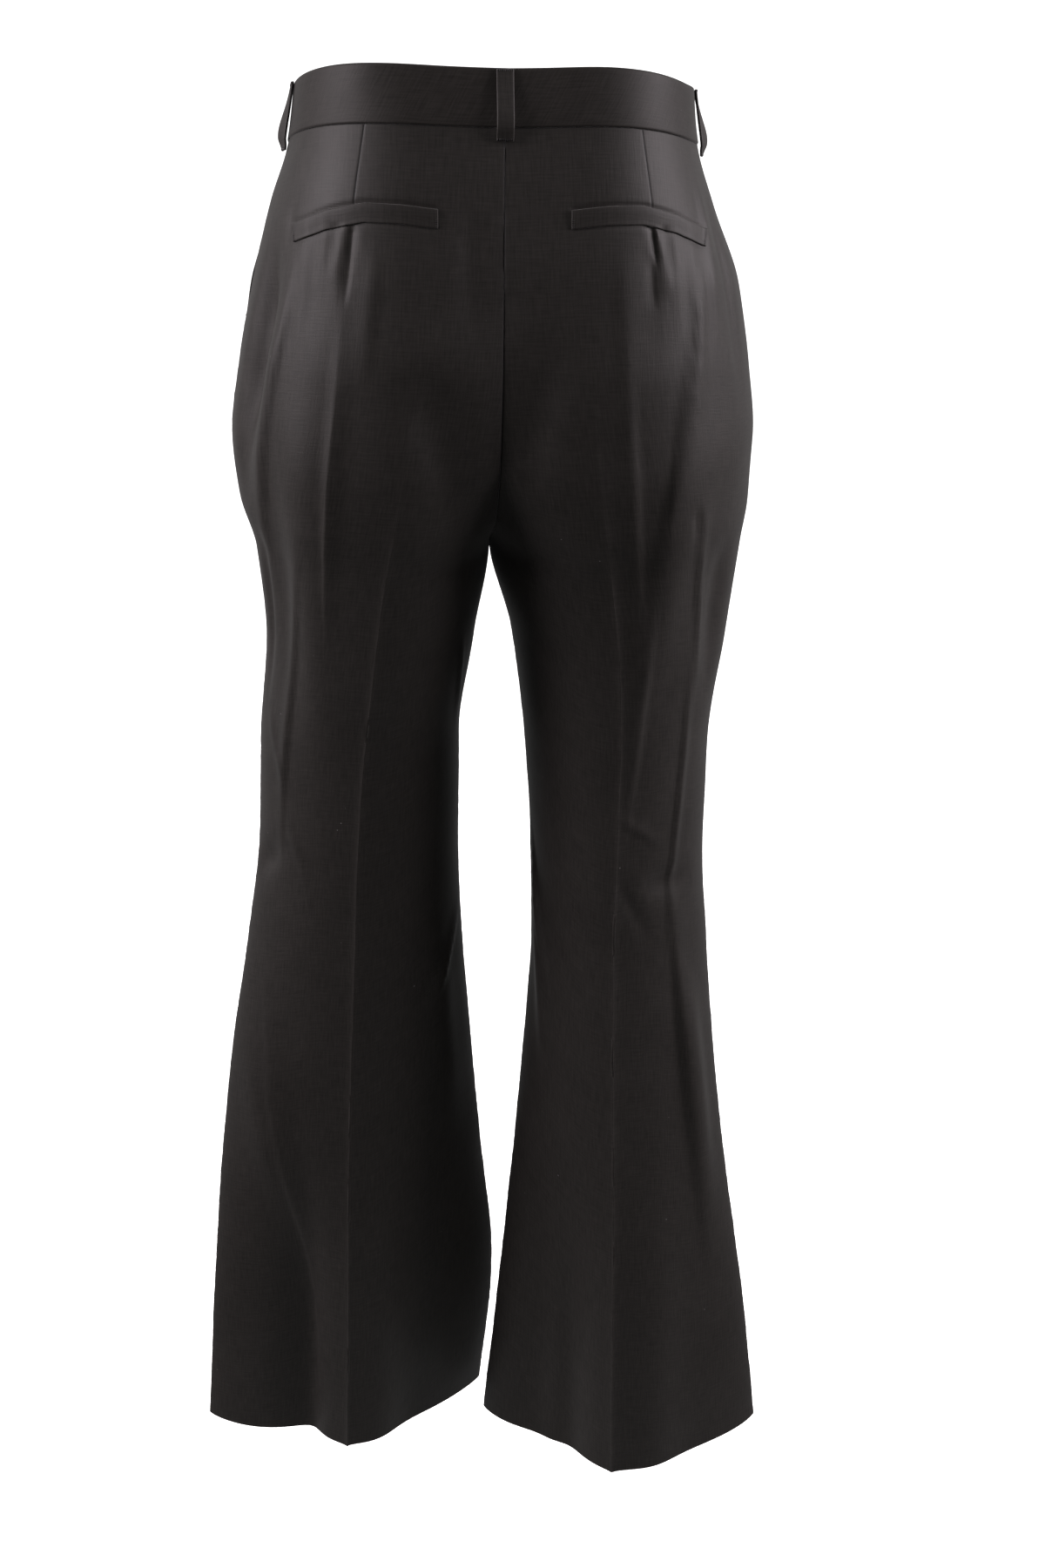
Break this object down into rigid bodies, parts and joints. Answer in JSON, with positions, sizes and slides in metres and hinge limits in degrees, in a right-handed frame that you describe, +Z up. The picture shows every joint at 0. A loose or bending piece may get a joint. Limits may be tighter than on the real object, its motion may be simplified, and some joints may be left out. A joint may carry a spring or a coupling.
{
  "type": "flared suit trousers",
  "caption": "Tailored trousers in a hollow worn form: pressed creases, back darts and welt pockets, slanted front pockets, a plain fly, belt loops and flared open hems.",
  "frame": {"origin": "centre of the waistband's top edge, level with that edge at the two sides, where the wearer's waist holds the trousers up", "axes": "+Z up along the body, +Y towards the back of the garment, -Y towards the front, +X towards the wearer's left"},
  "size_m": [0.4491, 0.2274, 1.064],
  "materials": {
    "suiting": "matt",
    "fused_band": "matt",
    "folded_trim": "matt"
  },
  "bodies": {
    "root": {"waistband": "fused_band", "back_left": "suiting", "back_right": "suiting", "front_left": "suiting", "front_right": "suiting", "pocket_facing_left": "suiting", "pocket_facing_right": "suiting", "back_welt_left": "folded_trim", "back_welt_right": "folded_trim", "fly_facing": "suiting", "belt_loop_back": "folded_trim", "belt_loop_side_left": "folded_trim", "belt_loop_side_right": "folded_trim", "belt_loop_front_left": "folded_trim", "belt_loop_front_right": "folded_trim"}
  },
  "joints": []
}
